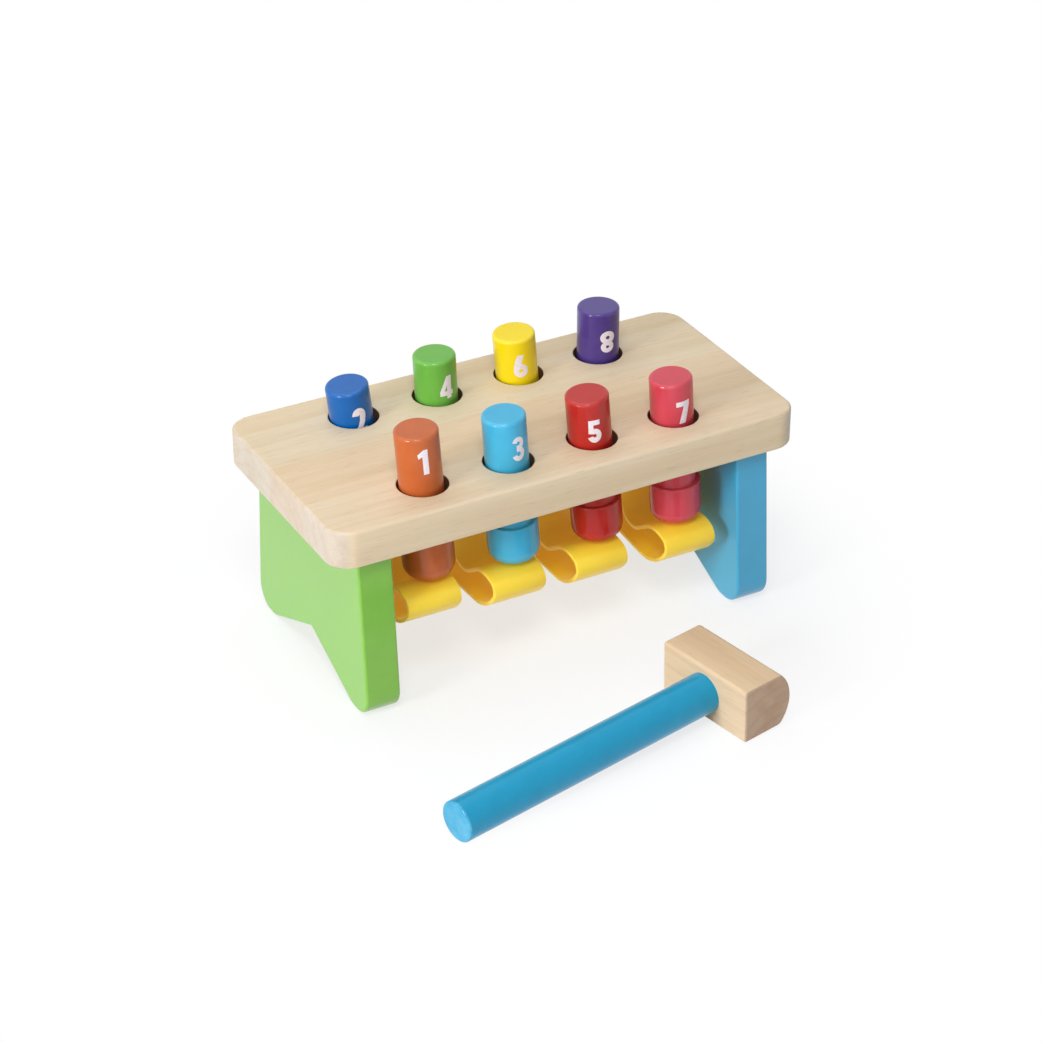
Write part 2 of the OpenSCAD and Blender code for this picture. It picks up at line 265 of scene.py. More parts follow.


# fluorescent yellow polypropylene sheet, extruded and heat-formed: smooth and slightly waxy with faint
# drawn lines and a soft gloss; it lets some light through, and a painted glow (emission) keeps it warm and
# bright in its own shade
def makeStrapSheet(name, look):
    material, tree, shader = newMaterial(name)
    coords = addNode(tree, "ShaderNodeTexCoord")
    along = addNode(tree, "ShaderNodeMapping", {}, {
        "Vector": coords.outputs["Object"], "Scale": grainScale(*look["lineMm"])})
    lines = addNode(tree, "ShaderNodeTexNoise", {}, {
        "Vector": along.outputs["Vector"], "Scale": 1.0, "Detail": 2.0, "Roughness": 0.5})
    cloud = addNode(tree, "ShaderNodeTexNoise", {}, {
        "Vector": coords.outputs["Object"], "Scale": oneMm / look["cloudMm"], "Detail": 2.0})
    mixed = addNode(tree, "ShaderNodeMath", {"operation": "MULTIPLY_ADD", "use_clamp": True}, {
        0: lines.outputs["Fac"], 1: 0.35, 2: cloud.outputs["Fac"]})
    tone = addNode(tree, "ShaderNodeMapRange", {"clamp": True}, {
        "Value": mixed.outputs[0], "From Min": 0.45, "From Max": 0.9})
    colour = addNode(tree, "ShaderNodeMix", {"data_type": "RGBA"}, {
        "Factor": tone.outputs["Result"], "A": hexToLinear(look["deep"]), "B": hexToLinear(look["colour"])})
    rough = addNode(tree, "ShaderNodeMapRange", {"clamp": True}, {
        "Value": lines.outputs["Fac"], "From Min": 0.3, "From Max": 0.7, "To Min": 0.34, "To Max": 0.44})
    bump = addNode(tree, "ShaderNodeBump", {}, {
        "Height": lines.outputs["Fac"], "Strength": 0.1, "Distance": 0.04 * mm})
    # painted glow: an emission stands in for the light that bounces inside the loop and shines through the
    # sheet
    setInputs(tree, shader, {
        "Base Color": colour.outputs["Result"], "Roughness": rough.outputs["Result"],
        "Normal": bump.outputs["Normal"], "IOR": 1.49, "Subsurface Weight": look["through"],
        "Subsurface Radius": look["spread"], "Subsurface Scale": look["depth"],
        "Emission Color": hexToLinear(look["paintedGlowTint"]), "Emission Strength": look["paintedGlow"]})
    return material


# screen-printed white ink: matt, opaque, a little uneven where it lies on the wood's pores
def makeInk(name, look):
    material, tree, shader = newMaterial(name)
    coords = addNode(tree, "ShaderNodeTexCoord")
    specks = addNode(tree, "ShaderNodeTexNoise", {}, {
        "Vector": coords.outputs["Object"], "Scale": oneMm / look["speckMm"], "Detail": 2.0})
    thin = addNode(tree, "ShaderNodeMapRange", {"clamp": True}, {
        "Value": specks.outputs["Fac"], "From Min": 0.3, "From Max": 0.62})
    colour = addNode(tree, "ShaderNodeMix", {"data_type": "RGBA"}, {
        "Factor": thin.outputs["Result"], "A": hexToLinear(look["thin"]), "B": hexToLinear(look["white"])})
    setInputs(tree, shader, {"Base Color": colour.outputs["Result"], "Roughness": 0.5})
    return material


malletTurn = math.radians(-168.8)  # the grain of the head and the handle turns with the mallet
# each layer: size along and across the grain in mm, detail, roughness and distortion
beechLooks = {
    "pale": "#E8DAC4", "cream": "#E1D0B5", "brown": "#D0B894", "pore": "#B39470", "holeShade": "#6E5038",
    "endTint": "#E5EAFB", "turn": (0, 0, 0), "pores": 0.3, "growth": 0.22, "heart": (18, 40),
    "ringMm": (330, 8),
    "layers": {"bands": (260, 24, 3.0, 0.55, 0.8), "rings": (150, 5.5, 2.0, 0.5, 0.5),
               "fibres": (30, 1.2, 2.0, 0.6, 0.0), "pores": (10, 0.8, 1.0, 0.4, 0.0)},
    "toneBase": 0.15, "toneShares": {"bands": 0.5, "rings": 0.26, "fibres": 0.16},
    "staveReach": 70 * mm,
    "staves": [(0, "#FFFCF8"), (0.29, "#FFF8F0"), (0.57, "#FFFFFC"), (0.83, "#FFFBF2")]}
headLooks = dict(
    beechLooks, pale="#E1CBAE", cream="#D9BF9E", brown="#C3A37D", endTint="#E3DCE2", heart=(40, -60),
    turn=(0, 0, -malletTurn - math.pi / 2), staves=[(0, "#FFFFFF"), (0.5, "#FFFFFF")])
rodLooks = dict(headLooks, turn=(0, 0, 0))
pinLooks = dict(headLooks, turn=(0, math.pi / 2, 0))
beech = makeBeech("satin_lacquered_beech", beechLooks)
headBeech = makeBeech("sanded_beech_block", headLooks)
rodBeech = makeBeech("bare_beech_dowel", rodLooks)
pinBeech = makeBeech("bare_beech_pin", pinLooks)

enamelLook = {"wearAndLight": 0.1, "rough": 0.34, "shine": 0.12, "coat": 0.5, "coatRough": 0.08,
              "mottleMm": 9, "grainMm": (30, 1.3), "peelMm": 1.6, "turn": (0, math.pi / 2, 0)}
legGreen = makeEnamel("satin_green_enamel", dict(
    enamelLook, colour="#7CB837", deep="#77B432", pale="#A9D883", shine=0.5, coat=0.6, coatRough=0.16))
legBlue = makeEnamel("satin_sky_blue_enamel", dict(
    enamelLook, colour="#3AA3CD", deep="#359FC9", pale="#8CC8E0", shine=0.45, coat=0.4, coatRough=0.16))
handleBlue = makeEnamel("satin_blue_enamel", dict(
    enamelLook, colour="#0D98C2", deep="#0793BD", pale="#86C6DC", wearAndLight=0.35, turn=(0, 0, -malletTurn)))
pegPaints = {
    1: ("satin_orange_enamel", "#C1622F", "#BB5C29", "#E59A75"),
    2: ("satin_royal_blue_enamel", "#0562B1", "#005CAB", "#6C9CCF"),
    3: ("satin_light_blue_enamel", "#42AFD7", "#3CAAD3", "#97D4EE"),
    4: ("satin_leaf_green_enamel", "#6AB245", "#64AD3F", "#A3D489"),
    5: ("satin_red_enamel", "#B8261F", "#B2201A", "#E0807B"),
    6: ("satin_yellow_enamel", "#F3D90E", "#EFD408", "#FBEE92"),
    7: ("satin_coral_enamel", "#CE4454", "#C93E4E", "#EC929B"),
    8: ("satin_purple_enamel", "#4E3A88", "#493582", "#8F80B8")}
pegEnamel = {k: makeEnamel(name, dict(enamelLook, colour=colour, deep=deep, pale=pale))
             for k, (name, colour, deep, pale) in pegPaints.items()}
# the strap sheet's painted glow is its emission tint and strength
strapSheet = makeStrapSheet("formed_yellow_polypropylene", {
    "colour": "#E6D23B", "deep": "#E3CD31", "lineMm": (1.8, 60), "cloudMm": 16, "through": 0.4,
    "spread": (1.0, 0.6, 0.1), "depth": 1.5 * mm, "paintedGlowTint": "#FFAD3F", "paintedGlow": 0.18})
ink = makeInk("printed_white_ink", {"white": "#EEE7EE", "thin": "#E3DBE5", "speckMm": 1.1})
print("materials made:", len(bpy.data.materials))

# camera where the photograph was taken
viewer = {"azimuth": -28.622, "elevation": 31.244, "distance": 1529.88 * mm, "lens": 103.05, "sensor": 36,
          "target": (4.3 * mm, 0, 46.362 * mm)}
azimuth = math.radians(viewer["azimuth"])
elevation = math.radians(viewer["elevation"])
back = Vector((math.sin(azimuth) * math.cos(elevation), -math.cos(azimuth) * math.cos(elevation),
               math.sin(elevation)))
camera = bpy.data.objects.new("camera", bpy.data.cameras.new("camera"))
scene.collection.objects.link(camera)
camera.data.sensor_width = viewer["sensor"]
camera.data.lens = viewer["lens"]
camera.location = Vector(viewer["target"]) + back * viewer["distance"]
camera.rotation_euler = (-back).to_track_quat("-Z", "Y").to_euler()
scene.camera = camera

# soft boxes, a pale room and a white floor that keeps the shadow
lampAim = Vector((0, 0, 60 * mm))
lamps = {
    "leftBox": {"at": (-1.38, -0.44, 0.54), "size": 0.4, "watts": 14.0},
    "keyBox": {"at": (-0.5, -0.85, 1.5), "size": 0.5, "watts": 10.0},
    "topBox": {"at": (-0.1, 0.5, 1.5), "size": 1.3, "watts": 7.3}}
for name, lamp in lamps.items():
    light = bpy.data.lights.new(name, "AREA")
    light.size = lamp["size"]
    light.energy = lamp["watts"]
    holder = bpy.data.objects.new(name, light)
    scene.collection.objects.link(holder)
    holder.location = lamp["at"]
    holder.rotation_euler = (lampAim - Vector(lamp["at"])).to_track_quat("-Z", "Y").to_euler()

room = {"ambient": 0.3, "white": "#FFFFFF", "floor": "#F9FBFE", "floorHalf": 4, "floorGlow": 0.7,
        "whiteFrom": 110 * mm, "whiteTo": 230 * mm}


# 1 where the camera, a gloss or glass shows the surface, 0 where it lights other pieces
def plainSight(tree):
    rays = addNode(tree, "ShaderNodeLightPath")
    seen = addNode(tree, "ShaderNodeMath", {"operation": "MAXIMUM"}, {
        0: rays.outputs["Is Camera Ray"], 1: rays.outputs["Is Glossy Ray"]})
    shown = addNode(tree, "ShaderNodeMath", {"operation": "MAXIMUM"}, {
        0: seen.outputs[0], 1: rays.outputs["Is Transmission Ray"]})
    return shown.outputs[0]


world = bpy.data.worlds.new("room")
scene.world = world
world.use_nodes = True
air = world.node_tree
air.nodes.clear()
dim = addNode(air, "ShaderNodeBackground", {}, {
    "Color": hexToLinear(room["white"]), "Strength": room["ambient"]})
bright = addNode(air, "ShaderNodeBackground", {}, {"Color": hexToLinear(room["white"]), "Strength": 1.0})
sky = addNode(air, "ShaderNodeMixShader", {}, {
    0: plainSight(air), 1: dim.outputs[0], 2: bright.outputs[0]})
addNode(air, "ShaderNodeOutputWorld", {}, {"Surface": sky.outputs[0]})

floorMaterial, tree, shader = newMaterial("white_studio_sweep")
tree.nodes.remove(shader)
where = addNode(tree, "ShaderNodeTexCoord")
reach = addNode(tree, "ShaderNodeVectorMath", {"operation": "LENGTH"}, {0: where.outputs["Object"]})
fade = addNode(tree, "ShaderNodeMapRange", {"clamp": True, "interpolation_type": "SMOOTHSTEP"}, {
    "Value": reach.outputs["Value"], "From Min": room["whiteFrom"], "From Max": room["whiteTo"],
    "To Min": room["floorGlow"], "To Max": 1.0})
glowShare = addNode(tree, "ShaderNodeMath", {"operation": "MULTIPLY"}, {
    0: fade.outputs["Result"], 1: plainSight(tree)})
matt = addNode(tree, "ShaderNodeBsdfDiffuse", {}, {"Color": hexToLinear(room["floor"])})
glow = addNode(tree, "ShaderNodeEmission", {}, {"Color": hexToLinear(room["white"]), "Strength": 1.0})
surface = addNode(tree, "ShaderNodeMixShader", {}, {
    0: glowShare.outputs[0], 1: matt.outputs[0], 2: glow.outputs[0]})
tree.links.new(surface.outputs[0], tree.nodes["Material Output"].inputs["Surface"])
far = room["floorHalf"]
floorMesh = bpy.data.meshes.new("floor")
floorMesh.from_pydata([(-far, -far, 0), (far, -far, 0), (far, far, 0), (-far, far, 0)], [], [(0, 1, 2, 3)])
floorMesh.materials.append(floorMaterial)
floor = bpy.data.objects.new("floor", floorMesh)
scene.collection.objects.link(floor)
print("camera, lights and floor made")

# top board: rings of points follow the rounded edges and the rims of the holes
board = {"length": 260 * mm, "width": 128 * mm, "thick": 20 * mm, "top": 109.5 * mm, "corner": 13 * mm,
         "edge": 1.5 * mm, "pairs": 4, "pitch": 47 * mm, "rowGap": 76 * mm, "holeRadius": 12.75 * mm,
         "rim": 0.6 * mm, "support": 0.4 * mm, "edgeSteps": 6, "cornerSteps": 14, "holeSteps": 64,
         "rimSteps": 3}
boardMiddle = board["top"] - board["thick"] / 2


# place along the bench of a pair of holes, counted from the left
def pairPlace(pair):
    return (pair - (board["pairs"] - 1) / 2) * board["pitch"]


# closed outline of the board, drawn in by a distance
def boardOutline(inset):
    r = board["corner"] - inset
    x, y = board["length"] / 2 - board["corner"], board["width"] / 2 - board["corner"]
    points = []
    for sx, sy, start in ((1, -1, -90), (1, 1, 0), (-1, 1, 90), (-1, -1, 180)):
        points += arcPoints((sx * x, sy * y), r, start, start + 90, board["cornerSteps"])
    return points


# closed outline of a hole, widened by a distance and run the other way round
def holeOutline(middle, inset):
    return arcPoints(middle, board["holeRadius"] + inset, 360, 0, board["holeSteps"])[:-1]


# insets and heights of a rounded wall from the lower face to the upper one
def wallSteps(low, high, radius, support, steps):
    turns = [math.pi / 2 * i / steps for i in range(steps + 1)]
    lower = [(radius + support, low)]
    lower += [(radius * (1 - math.sin(a)), low + radius * (1 - math.cos(a))) for a in turns]
    return lower + [(inset, low + high - z) for inset, z in reversed(lower)]


def makeBoard():
    low, high = board["top"] - board["thick"], board["top"]
    bm = bmesh.new()
    paintedHoleShade = bm.verts.layers.float.new("paintedHoleShade")

    def wall(outlineAt, edge, steps, holeShade):
        rings = []
        for inset, z in wallSteps(low, high, edge, board["support"], steps):
            rings.append([bm.verts.new((x, y, z)) for x, y in outlineAt(inset)])
            for v in rings[-1]:
                # the hole walls carry the painted shade mark
                v[paintedHoleShade] = holeShade if inset < edge / 4 else 0.0
        count = len(rings[0])
        for lower, upper in zip(rings, rings[1:]):
            for i in range(count):
                bm.faces.new((lower[i], lower[(i + 1) % count], upper[(i + 1) % count], upper[i]))
        return rings[0], rings[-1]

    ends = [wall(boardOutline, board["edge"], board["edgeSteps"], 0.0)]
    for pair in range(board["pairs"]):
        for side in (-1, 1):
            middle = (pairPlace(pair), side * board["rowGap"] / 2)
            ends.append(wall(lambda inset: holeOutline(middle, inset), board["rim"],
                             board["rimSteps"], 1.0))
    # the lower and the upper face fill the space between the board's outline and the rims
    for level in (0, 1):
        edges = []
        for both in ends:
            ring = both[level]
            edges += [bm.edges.get((ring[i], ring[(i + 1) % len(ring)])) for i in range(len(ring))]
        bmesh.ops.triangle_fill(bm, use_beauty=True, use_dissolve=False, edges=edges)
    piece = newPiece("board", smoothMesh(bm, "board"), beech)
    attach(piece, "bench")
    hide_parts("top_board")


makeBoard()
print("board made")

# leg panels: splayed outline with round feet and a notch, softened along every edge
legs = {"outer": 115.5 * mm, "thick": 18.5 * mm, "topHalf": 57 * mm, "footHalf": 64 * mm,
        "height": 89.5 * mm, "footWidth": 18.5 * mm, "notch": 19.5 * mm, "outerRound": 12 * mm,
        "outerSteps": 12, "innerRound": 10 * mm, "innerSteps": 6, "edge": 1.3 * mm}
softening = {"segments": 4, "fromAngle": 35}


# points of a rounded corner b between a and c
def roundCorner(a, b, c, radius, steps):
    a, b, c = Vector(a), Vector(b), Vector(c)
    u, v = (a - b).normalized(), (c - b).normalized()
    half = math.acos(u.dot(v)) / 2
    centre = b + (u + v).normalized() * radius / math.sin(half)
    first, last = b + u * radius / math.tan(half) - centre, b + v * radius / math.tan(half) - centre
    return arcPoints(centre, radius, math.degrees(math.atan2(first.y, first.x)),
                     math.degrees(math.atan2(last.y, last.x)), steps)


# a panel cut to an outline, with its edges rounded by a distance
def extrudeOutline(name, points, thick, edge, material):
    bm = bmesh.new()
    near = [bm.verts.new((x, y, 0)) for x, y in points]
    far = [bm.verts.new((x, y, thick)) for x, y in points]
    bm.faces.new(near)
    bm.faces.new(list(reversed(far)))
    count = len(points)
    for i in range(count):
        bm.faces.new((near[i], far[i], far[(i + 1) % count], near[(i + 1) % count]))
    piece = newPiece(name, smoothMesh(bm, name), material)
    soften = piece.modifiers.new("soften", "BEVEL")
    soften.width = edge
    soften.segments = softening["segments"]
    soften.limit_method = "ANGLE"
    soften.angle_limit = math.radians(softening["fromAngle"])
    soften.harden_normals = True
    return bakePiece(piece)


def makeLeg(name, start, material, node):
    top, outer = (legs["topHalf"], legs["height"]), (legs["footHalf"], 0)
    inner, apex = (legs["footHalf"] - legs["footWidth"], 0), (0, legs["notch"])
    half = [top] + roundCorner(top, outer, inner, legs["outerRound"], legs["outerSteps"]) \
        + roundCorner(outer, inner, apex, legs["innerRound"], legs["innerSteps"])
    points = half + [apex] + [(-y, z) for y, z in reversed(half)]
    piece = extrudeOutline(name, points, legs["thick"], legs["edge"], material)
    # outline y, z and thickness become Y, Z and X
    piece.data.transform(Matrix(((0, 0, 1, start), (1, 0, 0, 0), (0, 1, 0, 0), (0, 0, 0, 1))))
    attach(piece, "bench")
    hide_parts(node)


makeLeg("green_leg", -legs["outer"], legGreen, "left_leg")
makeLeg("blue_leg", legs["outer"] - legs["thick"], legBlue, "right_leg")
print("legs made")


# starts a Geometry Nodes tree: the tree, the identifiers of its named inputs and its input node
def startTree(name, kinds, result):
    tree = bpy.data.node_groups.new(name, "GeometryNodeTree")
    sockets = {}
    for key, kind in kinds.items():
        sockets[key] = tree.interface.new_socket(key, in_out="INPUT", socket_type=kind).identifier
    tree.interface.new_socket(result, in_out="OUTPUT", socket_type="NodeSocketGeometry")
    return tree, sockets, addNode(tree, "NodeGroupInput")


# ends a tree with smooth shading, real geometry and the finish
def endTree(tree, geometry, finish):
    smooth = addNode(tree, "GeometryNodeSetShadeSmooth", {}, {"Geometry": geometry})
    real = addNode(tree, "GeometryNodeRealizeInstances", {}, {"Geometry": smooth.outputs["Geometry"]})
    dressed = addNode(tree, "GeometryNodeSetMaterial", {}, {
        "Geometry": real.outputs["Geometry"], "Material": finish})
    addNode(tree, "NodeGroupOutput", {}, {0: dressed.outputs["Geometry"]})


# a piece that a tree makes from a line of points
def growPiece(name, points, tree, sockets, sizes, material):
    mesh = bpy.data.meshes.new(name)
    mesh.from_pydata(points, [(i, i + 1) for i in range(len(points) - 1)], [])
    piece = newPiece(name, mesh, material)
    maker = piece.modifiers.new(tree.name, "NODES")
    maker.node_group = tree
    for key, value in dict(sizes, Finish=material).items():
        maker[sockets[key]] = value
    return bakePiece(piece)


# turns a profile, a line of points in radius and height, round the Z axis
def makeLatheTree():
    tree, sockets, given = startTree("turnedProfile", {
        "Profile": "NodeSocketGeometry", "Stations": "NodeSocketInt", "Around": "NodeSocketInt",
        "Finish": "NodeSocketMaterial"}, "Turned")
    rows = addNode(tree, "ShaderNodeMath", {"operation": "ADD"}, {0: given.outputs["Around"], 1: 1.0})
    grid = addNode(tree, "GeometryNodeMeshGrid", {}, {
        "Size X": 1.0, "Size Y": 1.0, "Vertices X": rows.outputs[0],
        "Vertices Y": given.outputs["Stations"]})
    place = addNode(tree, "GeometryNodeInputPosition")
    split = addNode(tree, "ShaderNodeSeparateXYZ", {}, {"Vector": place.outputs[0]})
    angle = addNode(tree, "ShaderNodeMath", {"operation": "MULTIPLY_ADD"}, {
        0: split.outputs["X"], 1: 2 * math.pi, 2: math.pi})
    last = addNode(tree, "ShaderNodeMath", {"operation": "SUBTRACT"}, {
        0: given.outputs["Stations"], 1: 1.0})
    share = addNode(tree, "ShaderNodeMath", {"operation": "ADD"}, {0: split.outputs["Y"], 1: 0.5})
    station = addNode(tree, "ShaderNodeMath", {"operation": "MULTIPLY"}, {
        0: share.outputs[0], 1: last.outputs[0]})
    index = addNode(tree, "ShaderNodeMath", {"operation": "ROUND"}, {0: station.outputs[0]})
    profilePoint = addNode(tree, "GeometryNodeSampleIndex", {
        "data_type": "FLOAT_VECTOR", "domain": "POINT"}, {
        "Geometry": given.outputs["Profile"], "Value": place.outputs[0], "Index": index.outputs[0]})
    outward = addNode(tree, "ShaderNodeSeparateXYZ", {}, {"Vector": profilePoint.outputs[0]})
    spot = addNode(tree, "ShaderNodeCombineXYZ", {}, {"Z": outward.outputs["Z"]})
    for axis, operation in (("X", "COSINE"), ("Y", "SINE")):
        swing = addNode(tree, "ShaderNodeMath", {"operation": operation}, {0: angle.outputs[0]})
        part = addNode(tree, "ShaderNodeMath", {"operation": "MULTIPLY"}, {
            0: outward.outputs["X"], 1: swing.outputs[0]})
        tree.links.new(part.outputs[0], spot.inputs[axis])
    # the profile's Y holds how pale the paint is there: worn edges, and a painted highlight on a lit face
    kept = addNode(tree, "GeometryNodeStoreNamedAttribute", {"data_type": "FLOAT", "domain": "POINT"}, {
        "Geometry": grid.outputs["Mesh"], "Name": "wearAndPaintedLight", "Value": outward.outputs["Y"]})
    moved = addNode(tree, "GeometryNodeSetPosition", {}, {
        "Geometry": kept.outputs["Geometry"], "Position": spot.outputs[0]})
    closed = addNode(tree, "GeometryNodeMergeByDistance", {}, {
        "Geometry": moved.outputs["Geometry"], "Distance": weld})
    endTree(tree, closed.outputs["Geometry"], given.outputs["Finish"])
    return tree, sockets


latheTree, latheSockets = makeLatheTree()
turning = {"around": 96, "roundSteps": 8}


# a turned piece from (radius, height, paleness from wear and painted light) points, placed by a matrix
def turnPiece(name, profile, place, material):
    points = [(r, wearAndLight, z) for r, z, wearAndLight in profile]
    sizes = {"Stations": len(points), "Around": turning["around"]}
    piece = growPiece(name, points, latheTree, latheSockets, sizes, material)
    bm = bmesh.new()
    bm.from_mesh(piece.data)
    bmesh.ops.dissolve_degenerate(bm, dist=sliver, edges=bm.edges)
    bmesh.ops.recalc_face_normals(bm, faces=bm.faces)
    bm.to_mesh(piece.data)
    bm.free()
    piece.data.transform(place)
    return piece


# rounded corner of a profile with a point just before and after it, which keeps flat faces flat
def profileRound(centre, radius, start, end, support, steps=turning["roundSteps"]):
    points = arcPoints(centre, radius, start, end, steps)
    first, last = math.radians(start - 90), math.radians(end + 90)
    before = (points[0][0] + support * math.cos(first), points[0][1] + support * math.sin(first))
    after = (points[-1][0] + support * math.cos(last), points[-1][1] + support * math.sin(last))
    return [before + (0.0,)] + [p + (1.0,) for p in points] + [after + (0.0,)]


# pegs, 1 to 8 from the left: odd ones in front, even ones behind
pegs = {"length": 82.5 * mm, "radius": 11 * mm, "baseRadius": 13.2 * mm, "baseHeight": 23 * mm,
        "topRound": 1.5 * mm, "shoulderRound": 0.8 * mm, "shoulderSteps": 5, "footRound": 7 * mm,
        "neck": 0.3 * mm, "neckHeight": 1 * mm, "levelRise": 25.3 * mm, "support": 0.35 * mm,
        "seesaw": (0.24, 0.06, 0.02, -0.09), "lean": (0.44, 0.69, 0.42, 0.25, 0.54, 0.49, 0.39, 0)}
fullLean = math.atan(2 * (board["holeRadius"] - pegs["radius"]) / board["thick"])
pegRange = range(1, 2 * board["pairs"] + 1)


def pegSide(k):
    return -1 if k % 2 else 1


def pegLean(k):
    return fullLean * pegs["lean"][k - 1]


# distance along a peg from the middle of the board down to its foot
def pegDrop(k):
    rise = pegs["levelRise"] * (1 - pegSide(k) * pegs["seesaw"][(k - 1) // 2])
    return pegs["length"] - rise - board["thick"] / 2


# where a peg's foot is, with Z along the peg
def pegPlace(k):
    pivot = Vector((pairPlace((k - 1) // 2), pegSide(k) * board["rowGap"] / 2, boardMiddle))
    return Matrix.Translation(pivot) @ Matrix.Rotation(-pegLean(k), 4, "Y") \
        @ Matrix.Translation((0, 0, -pegDrop(k)))


def pegProfile():
    r, b, gap = pegs["radius"], pegs["baseRadius"], pegs["support"]
    foot, shoulder, top = pegs["footRound"], pegs["shoulderRound"], pegs["topRound"]
    height, length, neck = pegs["baseHeight"], pegs["length"], pegs["neck"]
    points = [(0, 0, 0)] + profileRound((b - foot, foot), foot, -90, 0, gap)
    points += profileRound((b - shoulder, height - shoulder), shoulder, 0, 90, gap, pegs["shoulderSteps"])
    points += [(r + neck, height, 0), (r, height + neck, 0), (r, height + pegs["neckHeight"], 0)]
    return points + profileRound((r - top, length - top), top, 0, 90, gap) + [(0, length, 0)]


for k in pegRange:
    peg = turnPiece(f"peg_{k}_turned", pegProfile(), pegPlace(k), pegEnamel[k])
    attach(peg, f"peg_{k}")
    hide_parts(f"peg_{k}")
print("pegs turned")

# numbers printed on the pegs: heavy narrow figures, each an outline in mm and the holes in it
numbers = {"ink": 0.07 * mm, "slices": 14, "reach": 5 * mm,
           "narrow": {1: 0.76, 2: 0.86, 3: 0.83, 4: 0.8, 5: 0.78, 6: 0.9, 7: 0.89, 8: 0.97},
           "tall": {1: 0.95, 2: 1.05, 3: 0.93, 4: 0.89, 5: 0.88, 6: 0.89, 7: 0.86, 8: 0.86},
           "facing": {1: -14.4, 2: -0.6, 3: 8.0, 4: 4.4, 5: -14.4, 6: -14.0, 7: 1.5, 8: -2.8},
           "below": {1: 12.8, 2: 16.3, 3: 15.0, 4: 14.6, 5: 15.7, 6: 14.5, 7: 15.7, 8: 16.1}}
figures = {
    1: [[(0, -7.2), (3.7, -7.2), (3.7, 7.2), (0.9, 7.2), (-3.0, 4.7), (-2.6, 2.2), (0, 3.4)]],
    2: [arcPoints((0, 3.0), 4.2, 175, -20, 16)
        + [(3.3, -0.6), (1.4, -4.0), (4.2, -4.0), (4.2, -7.2), (-4.2, -7.2), (-4.2, -5.2), (-1.4, -2.6),
           (0.0, 0.4)]
        + arcPoints((0, 3.0), 0.4, -38, 175, 10)],
    3: [arcPoints((-0.2, 3.3), 3.9, 165, -40, 14) + arcPoints((-0.2, -3.0), 4.2, 50, -165, 16)
        + arcPoints((-0.2, -3.0), 1.4, -165, 90, 10) + [(-1.4, -1.6), (-1.4, 2.1)]
        + arcPoints((-0.2, 3.3), 1.2, -90, 165, 10)],
    4: [[(0.0, 7.2), (3.4, 7.2), (3.4, -2.4), (4.6, -2.4), (4.6, -5.2), (3.4, -5.2), (3.4, -7.2),
         (0.1, -7.2), (0.1, -5.2), (-4.7, -5.2), (-4.7, -2.6)],
        [(0.1, -2.4), (0.1, 1.7), (-1.5, -2.4)]],
    5: [[(-3.6, 7.2), (3.7, 7.2), (3.7, 4.1), (-0.6, 4.1), (-0.7, 1.7)]
        + arcPoints((-0.1, -2.7), 4.5, 92, -165, 16) + arcPoints((-0.1, -2.7), 1.2, -165, 120, 10)
        + [(-4.0, -1.1)]],
    6: [arcPoints((0, -2.9), 4.2, 180, 445, 22) + [(2.2, 7.2), (-1.6, 7.2), (-3.3, 2.6), (-4.1, -1.2)],
        arcPoints((0, -2.9), 1.2, 0, 340, 16)],
    7: [[(-4.2, 7.2), (4.2, 7.2), (4.2, 4.6), (1.1, -7.2), (-2.7, -7.2), (0.4, 4.1), (-4.2, 4.1)]],
    8: [arcPoints((0, 2.9), 4.2, -50, 230, 18) + arcPoints((0, -3.3), 3.8, 130, 410, 20),
        arcPoints((0, 2.9), 1.2, 0, 340, 14), arcPoints((0, -3.3), 1.0, 0, 340, 14)]}


def makeNumber(k):
    curve = bpy.data.curves.new(f"number_{k}", "CURVE")
    curve.dimensions = "2D"
    curve.fill_mode = "BOTH"
    for outline in figures[k]:
        line = curve.splines.new("POLY")
        line.points.add(len(outline) - 1)
        for point, (x, y) in zip(line.points, outline):
            point.co = (x * numbers["narrow"][k] * mm, y * numbers["tall"][k] * mm, 0, 1)
        line.use_cyclic_u = True
    holder = bpy.data.objects.new(f"number_{k}_outline", curve)
    scene.collection.objects.link(holder)
    mesh = evaluatedMesh(holder)
    bpy.data.objects.remove(holder)
    bpy.data.curves.remove(curve)
    bm = bmesh.new()
    bm.from_mesh(mesh)
    bmesh.ops.remove_doubles(bm, verts=bm.verts, dist=weld)
    # upright cuts let the flat shape bend round the peg
    for i in range(1, numbers["slices"]):
        x = (2 * i / numbers["slices"] - 1) * numbers["reach"]
        geom = bm.verts[:] + bm.edges[:] + bm.faces[:]
        bmesh.ops.bisect_plane(bm, geom=geom, plane_co=(x, 0, 0), plane_no=(1, 0, 0))
    bmesh.ops.recalc_face_normals(bm, faces=bm.faces)
    # until the shape is bent, a height of 1 marks the outer face of the ink
    grown = bmesh.ops.extrude_face_region(bm, geom=bm.faces[:])
    for v in [g for g in grown["geom"] if isinstance(g, bmesh.types.BMVert)]:
        v.co.z = 1
    middle = math.radians(numbers["facing"][k])
    height = pegs["length"] - numbers["below"][k] * mm
    for v in bm.verts:
        turn = middle + v.co.x / pegs["radius"]
        r = pegs["radius"] + (numbers["ink"] if v.co.z > 0.5 else -numbers["ink"])
        v.co = (r * math.sin(turn), -r * math.cos(turn), height + v.co.y)
    bmesh.ops.recalc_face_normals(bm, faces=bm.faces)
    bm.to_mesh(mesh)
    bm.free()
    mesh.transform(pegPlace(k))
    piece = newPiece(f"number_{k}", mesh, ink)
    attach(piece, f"peg_{k}")


for k in pegRange:
    makeNumber(k)
print("numbers printed")

